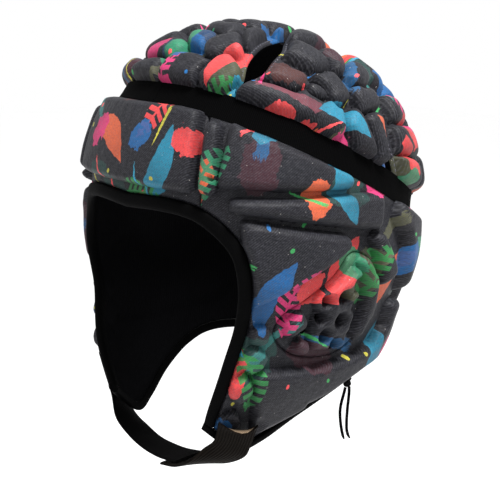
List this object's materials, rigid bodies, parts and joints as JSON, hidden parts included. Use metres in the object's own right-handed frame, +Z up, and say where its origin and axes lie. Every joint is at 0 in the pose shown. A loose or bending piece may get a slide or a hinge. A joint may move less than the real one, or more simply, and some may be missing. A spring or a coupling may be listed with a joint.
{
  "type": "rugby scrum cap",
  "caption": "Padded scrum cap with quilted crown and lower band, elastic gusset, vents, bound edges, pierced ear pads, chin strap with tab, and nape lace.",
  "frame": {"origin": "highest point of the lining's inside, where the cap rests on the top of the wearer's head", "axes": "+Z up out of the crown, -Y the way the wearer looks, +X to the wearer's left"},
  "size_m": [0.1864, 0.1908, 0.2501],
  "materials": {
    "printed_knit": "matte",
    "elastic": "matte",
    "binding": "matte",
    "lining": "matte",
    "webbing": "matte",
    "hook_tape": "matte",
    "lace": "matte"
  },
  "bodies": {
    "root": {"brow_panel": "printed_knit", "side_panel_left": "printed_knit", "side_panel_right": "printed_knit", "ear_pad_left": "printed_knit", "ear_pad_right": "printed_knit", "back_panel": "printed_knit", "crown_middle": "printed_knit", "crown_left": "printed_knit", "crown_right": "printed_knit", "gusset_band": "elastic", "crown_lining": "lining", "band_lining": "lining", "face_binding": "binding", "neck_binding": "binding", "chin_strap": "webbing", "strap_tab": "hook_tape", "lace_knot": "lace", "lace_tail_front": "lace", "lace_tail_rear": "lace"}
  },
  "joints": []
}
